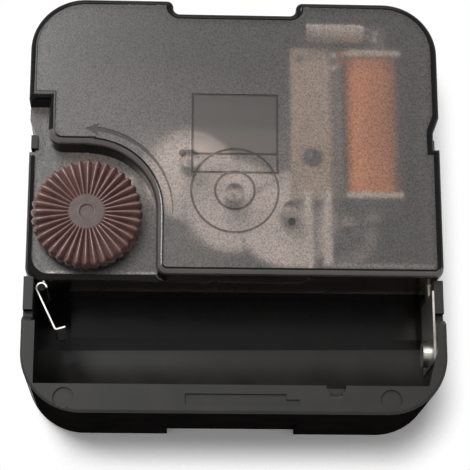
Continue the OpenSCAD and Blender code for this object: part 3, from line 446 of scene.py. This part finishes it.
def eased(points, steps=6):
    """A smooth route through the points."""
    route = []
    for i in range(len(points) - 1):
        p0, p1, p2, p3 = (points[min(max(i + d, 0), len(points) - 1)] for d in (-1, 0, 1, 2))
        for k in range(steps):
            t = k / steps
            route.append(0.5 * (2 * p1 + (p2 - p0) * t + (2 * p0 - 5 * p1 + 4 * p2 - p3) * t * t
                                + (3 * p1 - p0 - 3 * p2 + p3) * t * t * t))
    return route + [points[-1]]


winding = bmesh.new()
sweep(winding, wire_route(), wire_r, 5)
piece("wound_wire", winding, [enamel], "case", "copper_wire", "coil_winding", smooth=80)

# The ends of the wire come off the top flange, hang in a small bow and reach their pads on the board.
leads = bmesh.new()
for i, pad_z in enumerate((21.2, 19.4)):
    flange_x = -15.7 - 1.2 * i
    sweep(leads, eased([
        Vector((flange_x, 12.5, 21.4)),
        Vector((flange_x, 12.75, 21.35)),
        Vector((flange_x + 0.4 - 0.5 * i, 12.8, 20.6)),
        Vector((-14.6, 12.15, pad_z + 0.3)),
        Vector((-14.1, 11.62, pad_z)),
    ]), lead_r, 8)
piece("coil_ends", leads, [enamel], "case", "copper_wire", "coil_leads", smooth=80)
dress("coil_pack", enamel)
dress("coil_bobbin", nylon)

# Circuit
# A strip of phenolic board with the clock chip under a drop of black resin and the crystal in its can laid
# in a cut-out, soldered by hand to the pads. Beside the coil the board turns darker, in a band.
dark_band_x = -13.2
dark_band_edge = 0.5

# Phenolic paper: tan and slightly mottled by its paper, and dull.
phenolic, tree, shader, place = new_finish("phenolic_paper_board", IOR=1.6, Roughness=0.45)
cloudy(tree, shader, place, 0.9, "#706355", "#877767")
grained(tree, shader, place, 0.2, 0.005)
bare = shader.inputs["Base Color"].links[0].from_socket
# Beside the coil the board turns darker, in a band.
across = add(tree, "ShaderNodeSeparateXYZ", {"Vector": place}).outputs["X"]
darkened_share = add(tree, "ShaderNodeMapRange", {"Value": across, "From Min": dark_band_x * mm,
                                             "From Max": (dark_band_x - dark_band_edge) * mm})
darkened_board = add(tree, "ShaderNodeMix", {"Factor": darkened_share.outputs["Result"], "A": bare,
                                      "B": linear("#3d3733")}, data_type="RGBA")
tree.links.new(darkened_board.outputs["Result"], shader.inputs["Base Color"])

# Cured epoxy: a glossy black drop.
resin, tree, shader, place = new_finish("cured_black_epoxy", IOR=1.55, Roughness=0.25)
cloudy(tree, shader, place, 0.8, "#0d0b0a", "#1a1715")

# Tin solder: bright and almost white, wetted smooth.
solder, tree, shader, place = new_finish("tin_solder", Metallic=1.0, Roughness=0.28)
cloudy(tree, shader, place, 0.4, "#bdbec0", "#dedfe1")

# Drawn nickel silver: bright, with a warm tinge.
drawn_can, tree, shader, place = new_finish("drawn_nickel_silver", Metallic=1.0, Roughness=0.24)
cloudy(tree, shader, place, 1.2, "#bdb9b0", "#dcd9d1")

dress("circuit_board", phenolic)
dress("chip_resin", resin)
dress("solder_joints", solder)
dress("crystal_can", drawn_can)
dress("crystal_leads", solder)

# Battery contacts
# Strips of plated spring steel, stamped and bent. The positive one is pushed into the end wall and carries
# a button for the cell. The negative one is a leaf that loops round its peg and presses on the cell's other
# end; a strip along the bay's wall takes its current to the board.
peg = Vector((25.75, -12.7))
loop_r = 0.675
loop_turn = 200
loop_steps = 16
leaf_angle = math.radians(26)
toe_turn = math.radians(81)
leaf_thickness = 0.2
leaf_front = 5.2
leaf_back = 11.8
blade = Vector((-math.sin(leaf_angle), -math.cos(leaf_angle)))
outward = Vector((math.cos(leaf_angle), -math.sin(leaf_angle)))


def strip_on_edge(route, thickness, front, back):
    """A flat strip that stands on edge: its middle line (x, z), and the levels between which it is wide."""
    solid = bmesh.new()
    rings = []
    for i, p in enumerate(route):
        ahead = (route[min(i + 1, len(route) - 1)] - route[max(i - 1, 0)]).normalized()
        aside = Vector((-ahead.y, ahead.x)) * thickness / 2
        rings.append([
            solid.verts.new(Vector((q.x, level, q.y)) * mm)
            for q, level in ((p + aside, front), (p - aside, front), (p - aside, back), (p + aside, back))
        ])
    join_rings(solid, rings)
    bmesh.ops.recalc_face_normals(solid, faces=solid.faces)
    return solid


loop = [
    peg + loop_r * (math.cos(t) * outward - math.sin(t) * blade)
    for t in (math.radians(loop_turn - loop_turn * k / loop_steps) for k in range(loop_steps + 1))
]
straight = [loop[-1] + blade * d for d in (1, 3, 5, 5.6)]
heel = straight[-1]
toe = Vector((blade.x * math.cos(toe_turn) + blade.y * math.sin(toe_turn),
              -blade.x * math.sin(toe_turn) + blade.y * math.cos(toe_turn)))
bend = [heel + blade * 0.22, heel + blade * 0.36 + toe * 0.08, heel + blade * 0.4 + toe * 0.25]
leaf_route = loop + straight + bend + [bend[-1] + toe * 1.1]
piece("negative_leaf", strip_on_edge(leaf_route, leaf_thickness, leaf_front, leaf_back), [plated],
      "negative_leaf", "plated_strip", "negative_contact", smooth=40)
dress("positive_contact", plated)
dress("negative_strip", plated)

# Rear cover
# One moulding of smoked polystyrene, snapped over the base by two hooks: plateau, lowered knob tray and the
# wall between them. The mould left the outer flats frosted, but the edges, walls and underside clear. So the
# edges look nearly black, and the works show through the flats as a soft blur.
plateau = case_back
tray_level = 12
tray_lip = 12.4
panel_half = 5.6
panel_low = 5.3
panel_high = 13.5
arrow_middle = Vector((19.8, 15.88, -3.0))
arrow_inner = 11
arrow_outer = 14
lamp_tint = "#fbf8f4"
wall_tint = "#d9d2ca"


def let_lamps_through(tree, shader, tint):
    """For the rays that go to a lamp the plastic is only a tint, so that lamps light what is behind it."""
    tinted = add(tree, "ShaderNodeBsdfTransparent", {"Color": linear(tint)})
    path = add(tree, "ShaderNodeLightPath")
    either = add(tree, "ShaderNodeMixShader",
                 {0: path.outputs["Is Shadow Ray"], 1: shader.outputs[0], 2: tinted.outputs[0]})
    tree.links.new(either.outputs[0], tree.nodes["Material Output"].inputs["Surface"])


# Spark-eroded polystyrene: a grey veil through which only shapes and colours come. The fine light and dark
# speckle in its colour is painted glints of the frosting.
frosted, tree, shader, place = new_finish("frosted_smoked_polystyrene", IOR=1.59, Transmission_Weight=0.95,
                                          Roughness=0.29, Specular_IOR_Level=0.22)
cloudy(tree, shader, place, 0.22, "#77706d", "#e0d8d5", detail=1.0)
grained(tree, shader, place, 0.22, 0.02)
let_lamps_through(tree, shader, lamp_tint)

# The panel for a label was eroded more finely than the rest: an even, thinner veil, with a fainter speckle of
# painted glints.
panel_smoke, tree, shader, place = new_finish("finely_frosted_smoked_polystyrene", IOR=1.59,
                                              Transmission_Weight=0.95, Roughness=0.25,
                                              Specular_IOR_Level=0.22)
cloudy(tree, shader, place, 0.24, "#a9a29d", "#bab3ae", detail=1.0)
grained(tree, shader, place, 0.25, 0.004)
let_lamps_through(tree, shader, lamp_tint)

# The engraved lines were cut into the eroded mould afterwards: their ground is smoother, and its darker colour
# is painted shade in the grooves.
groove_smoke_painted_shade, tree, shader, place = new_finish("engraved_smoked_polystyrene_painted_shade", IOR=1.59,
                                               Transmission_Weight=0.95, Roughness=0.25,
                                               Specular_IOR_Level=0.22)
cloudy(tree, shader, place, 1.5, "#3a3532", "#57504b")
let_lamps_through(tree, shader, lamp_tint)

# The underside came off polished steel: clear, with a light grey tint.
clear_smoke, tree, shader, place = new_finish("clear_smoked_polystyrene", IOR=1.59, Transmission_Weight=1.0,
                                              Roughness=0.08, Specular_IOR_Level=0.25)
cloudy(tree, shader, place, 8, "#c3bab6", "#d2cac6")
let_lamps_through(tree, shader, "#fbf8f6")

# The front wall is seen along its length, through much more resin than the flats: dark brown.
wall_smoke, tree, shader, place = new_finish("smoked_wall_seen_edge_on", IOR=1.59, Transmission_Weight=0.75,
                                             Roughness=0.1, Specular_IOR_Level=0.15)
cloudy(tree, shader, place, 6, "#3b322c", "#52463d")
let_lamps_through(tree, shader, wall_tint)

# The polished roundings near the tray get a lighter copy of the smoked plastic: a painted highlight, a soft
# light line along the edge.
rounding_painted_highlight, tree, shader, place = new_finish("polished_smoked_rounding_painted_highlight", IOR=1.59, Transmission_Weight=0.6,
                                                Roughness=0.16, Specular_IOR_Level=0.5)
cloudy(tree, shader, place, 6, "#5f5854", "#77706b")
let_lamps_through(tree, shader, wall_tint)

# All other edges and walls are polished too. They are nearly black: partly the black case showing through them,
# partly painted shade.
edge_smoke_painted_shade, tree, shader, place = new_finish("polished_smoked_edge_painted_shade", IOR=1.59, Transmission_Weight=0.1,
                                             Roughness=0.12, Specular_IOR_Level=0.04)
cloudy(tree, shader, place, 6, "#0e0d0d", "#191616")
let_lamps_through(tree, shader, wall_tint)


def cover_face(face, at):
    """0 for the frosted flats, 1 underneath, 2 for the front wall, 3 for edges and other walls in painted
    shade.

    4 for the label panel and the arrow, 5 for the engraved lines in painted shade, 6 for the roundings near the
    tray with a painted highlight.
    """
    if face_depth(face) < 0.002:
        on_plateau = at.y > plateau - 0.01
        if face.normal.y < 0:
            return 1
        if abs(at.y - tray_lip) < 0.01:
            return 3
        if not on_plateau and abs(at.y - tray_level) > 0.01:
            return 4 if face in arrow_ground else 5
        return 4 if on_plateau and abs(at.x) < panel_half and panel_low < at.z < panel_high else 0
    if abs(face.normal.z) > 0.999 and at.z < bay_top + 1.3:
        return 2
    # Near the tray the roundings that face partly backwards get the lighter copy, a painted highlight; all
    # other edges the dark one, painted shade.
    by_tray = (at.x > 9 and at.z < 9.5) or at.z < -10.5
    return 6 if by_tray and 0.35 < face.normal.y < 0.95 else 3


def at_lower_right(x, z):
    return x < -27.5 and abs(z - bay_top) < 0.1


def anywhere(x, z):
    return True


def in_arrow(face):
    """True for the engraved ground of the arrow that curves round the knob."""
    at = face.calc_center_median() / mm
    engraved = face.normal.y > 0.999 and 15.8 < at.y < 15.95
    return engraved and arrow_inner < (at - arrow_middle).length < arrow_outer


cover = packed_solid("rear_cover")
round_upright(cover, 1.3, at_lower_right)
round_rim(cover, plateau, 1.0, 0.5, anywhere, segments=6)
round_rim(cover, tray_lip, 0.3, 1, anywhere)
fill_flat(cover, plateau)
cover.normal_update()
arrow = [f for f in cover.faces if in_arrow(f)]
bmesh.ops.inset_region(cover, faces=arrow, thickness=0.1 * mm, use_even_offset=True)
arrow_ground = set(arrow)
piece("smoked_cover", cover,
      [frosted, clear_smoke, wall_smoke, edge_smoke_painted_shade, panel_smoke, groove_smoke_painted_shade, rounding_painted_highlight],
      "case", "smoked_polystyrene", "rear_cover", choose=cover_face)

# Setting knob
# A disc of dark red see-through polystyrene with 36 pleats for the fingertip, pressed on the arbor that
# reaches through the cover to the hand gears. Both are shot in the same resin.
knob_at = Vector((19.8, 12.7, -3.0))
pleats = 36
teeth_from = 6.2
teeth_depth = 0.34
hub_r = 2.45

# Moulded red polystyrene: glossy on the crests of the pleats, and deep red where light gets into them.
knob_red, tree, shader, place = new_finish("moulded_dark_red_polystyrene", IOR=1.59, Roughness=0.24,
                                           Transmission_Weight=0.15)
cloudy(tree, shader, place, 2.0, "#6f504b", "#846560")
grained(tree, shader, place, 0.4, 0.006)

# The hub is flat, eroded and thicker than the pleats: duller, and its darker colour is painted shade.
hub_red_painted_shade, tree, shader, place = new_finish("dark_red_polystyrene_painted_shade", IOR=1.59, Roughness=0.42,
                                          Transmission_Weight=0.1, Specular_IOR_Level=0.35)
cloudy(tree, shader, place, 1.0, "#453330", "#574542")
grained(tree, shader, place, 0.25, 0.01)


def pleated_disc():
    """Rings from the bore outwards over the pleated face, round the rim and back under it."""
    radius_crest_valley = (
        (0.9, 2.6, 2.6), (0.95, 2.75, 2.75), (1.15, 2.8, 2.8), (1.3, 2.72, 2.72), (2.3, 2.72, 2.72),
        (2.42, 2.62, 2.6), (2.6, 2.72, 2.35), (4.0, 2.9, 2.25), (5.5, 2.97, 2.15), (6.4, 2.95, 2.1),
        (7.0, 2.8, 2.0), (7.35, 2.45, 1.75), (7.48, 1.9, 1.45), (7.48, 0.5, 0.5), (7.35, 0.1, 0.1),
        (7.1, 0.02, 0.02), (1.15, 0.02, 0.02),
    )
    share_and_height = (
        (0.0, 1.0), (0.13, 0.93), (0.3, 0.56), (0.42, 0.12),
        (0.5, 0.0), (0.58, 0.12), (0.7, 0.56), (0.87, 0.93),
    )
    solid = bmesh.new()
    rings = []
    for r, crest, valley in radius_crest_valley:
        ring = []
        for k in range(pleats):
            for share, height in share_and_height:
                a = 2 * math.pi * (k + share) / pleats
                reach = r - teeth_depth * (1 - height) * max(0, (r - teeth_from) / (7.5 - teeth_from))
                level = valley + (crest - valley) * height
                at = knob_at + Vector((reach * math.cos(a), level, reach * math.sin(a)))
                ring.append(solid.verts.new(at * mm))
        rings.append(ring)
    join_rings(solid, rings, come_round=True)
    bmesh.ops.recalc_face_normals(solid, faces=solid.faces)
    return solid


def knob_face(face, at):
    """0 for the pleats, 1 for the flat hub."""
    return int(math.hypot(at.x - knob_at.x, at.z - knob_at.z) < hub_r)


piece("pleated_knob", pleated_disc(), [knob_red, hub_red_painted_shade], "knob", "red_smoke_polystyrene", "setting_knob",
      smooth=60, choose=knob_face)
dress("knob_arbor", hub_red_painted_shade)

# Studio
# The movement lies with its dial side on a white table, the shaft through a hole, as in a catalogue
# picture. A window-like lamp stands behind it to the upper left, and a weaker one above throws the soft
# shadow below the case. The room is white to the eye and in reflections, and dimmer as a light.
scene = bpy.context.scene
scene.view_settings.view_transform = "Standard"
world = bpy.data.worlds.new("white_room")
scene.world = world
world.use_nodes = True
tree = world.node_tree
tree.nodes.clear()
path = add(tree, "ShaderNodeLightPath")
seen = add(tree, "ShaderNodeMath", {0: path.outputs["Is Camera Ray"], 1: path.outputs["Is Glossy Ray"]},
           operation="MAXIMUM")
seen = add(tree, "ShaderNodeMath", {0: seen.outputs[0], 1: path.outputs["Is Transmission Ray"]},
           operation="MAXIMUM")
level = add(tree, "ShaderNodeMapRange", {"Value": seen.outputs[0], "To Min": 0.35, "To Max": 1.0})
sky = add(tree, "ShaderNodeBackground", {"Color": [1, 1, 1, 1], "Strength": level.outputs["Result"]})
add(tree, "ShaderNodeOutputWorld", {"Surface": sky.outputs[0]})


def lamp(name, at, size, watts):
    """A rectangular lamp that looks at the middle of the movement."""
    data = bpy.data.lights.new(name, "AREA")
    data.shape = "RECTANGLE"
    data.size, data.size_y = size
    data.energy = watts
    made = bpy.data.objects.new(name, data)
    scene.collection.objects.link(made)
    made.location = at
    made.rotation_euler = (Vector((0, 0.012, 0)) - Vector(at)).to_track_quat("-Z", "Y").to_euler()


lamp("window_lamp", (0.18, 0.36, 0.15), (0.16, 0.2), 1.35)
lamp("top_lamp", (-0.02, 0.2, 0.36), (0.26, 0.16), 0.35)

# The table: matt white paper. It fades out into the white room beside the case. From below, and for what lies
# on it, it isn't there, so that the dial side gets the room's light.
shadow_half_box = Vector((21, 0, 24)) * mm
fade_from = 6.5 * mm
fade_to = 12.5 * mm
lies_on_it = 0.8 * mm
table_paper = bpy.data.materials.new("white_paper")
table_paper.use_nodes = True
tree = table_paper.node_tree
tree.nodes.clear()
place = add(tree, "ShaderNodeTexCoord").outputs["Object"]
geometry = add(tree, "ShaderNodeNewGeometry")
path = add(tree, "ShaderNodeLightPath")
beside = add(tree, "ShaderNodeVectorMath", {0: place}, operation="ABSOLUTE")
beside = add(tree, "ShaderNodeVectorMath", {0: beside.outputs[0], 1: shadow_half_box}, operation="SUBTRACT")
beside = add(tree, "ShaderNodeVectorMath", {0: beside.outputs[0], 1: (0, 0, 0)}, operation="MAXIMUM")
away = add(tree, "ShaderNodeVectorMath", {0: beside.outputs[0]}, operation="LENGTH")
fade = add(tree, "ShaderNodeMapRange", {"Value": away.outputs["Value"], "From Min": fade_from,
                                        "From Max": fade_to}, interpolation_type="SMOOTHSTEP")
gone = add(tree, "ShaderNodeMath", {0: fade.outputs["Result"], 1: geometry.outputs["Backfacing"]},
           operation="MAXIMUM")
close = add(tree, "ShaderNodeMath", {0: path.outputs["Ray Length"], 1: lies_on_it}, operation="LESS_THAN")
gone = add(tree, "ShaderNodeMath", {0: gone.outputs[0], 1: close.outputs[0]}, operation="MAXIMUM")
fibres = add(tree, "ShaderNodeTexNoise", {"Vector": place, "Scale": 1 / (2 * mm)})
paper = add(tree, "ShaderNodeMapRange", {"Value": fibres.outputs["Fac"], "To Min": 0.8, "To Max": 0.84})
bleached = add(tree, "ShaderNodeMath", {0: path.outputs["Is Camera Ray"], 1: 0.42,
                                        2: paper.outputs["Result"]}, operation="MULTIPLY_ADD")
matt = add(tree, "ShaderNodeBsdfDiffuse", {"Color": bleached.outputs[0]})
nothing = add(tree, "ShaderNodeBsdfTransparent")
table = add(tree, "ShaderNodeMixShader", {0: gone.outputs[0], 1: matt.outputs[0], 2: nothing.outputs[0]})
add(tree, "ShaderNodeOutputMaterial", {"Surface": table.outputs[0]})

# The sheet lies 0.2 mm under the dial face, and its hole follows the case 1.2 mm inside the outline.
table_level = -0.2
hole_middle_z = -1.65
hole_corner_x = 17.8
hole_corner_z = 18.15
hole_corner_r = 9
sheet_reach = 70
steps = 24

sheet = bmesh.new()
outer = []
inner = []
for k in range(steps):
    angle = (k + 0.5) * 2 * math.pi / steps
    turn = Vector((math.cos(angle), 0, math.sin(angle)))
    corner = Vector((math.copysign(hole_corner_x, turn.x), table_level,
                     math.copysign(hole_corner_z, turn.z) + hole_middle_z))
    inner.append(sheet.verts.new((corner + hole_corner_r * turn) * mm))
    outer.append(sheet.verts.new((corner + sheet_reach * turn) * mm))
for k in range(steps):
    j = (k + 1) % steps
    sheet.faces.new((outer[k], inner[k], inner[j], outer[j]))
mesh = bpy.data.meshes.new("table")
sheet.to_mesh(mesh)
sheet.free()
mesh.materials.append(table_paper)
table_top = bpy.data.objects.new("table", mesh)
scene.collection.objects.link(table_top)

# The camera stands as in the photograph: behind the movement, about 16 degrees below the normal of its back.
focal_px = 1712
photo_px = 470
eye = Vector((0.0096, 0.2347, -0.0702))
aim = Vector((0.0, 0.016, -0.00624))
camera_data = bpy.data.cameras.new("camera")
camera = bpy.data.objects.new("camera", camera_data)
scene.collection.objects.link(camera)
scene.camera = camera
camera_data.sensor_width = 36
camera_data.lens = camera_data.sensor_width * focal_px / photo_px
camera_data.clip_start = 0.01
camera.location = eye
camera.rotation_euler = (aim - eye).to_track_quat("-Z", "Y").to_euler()
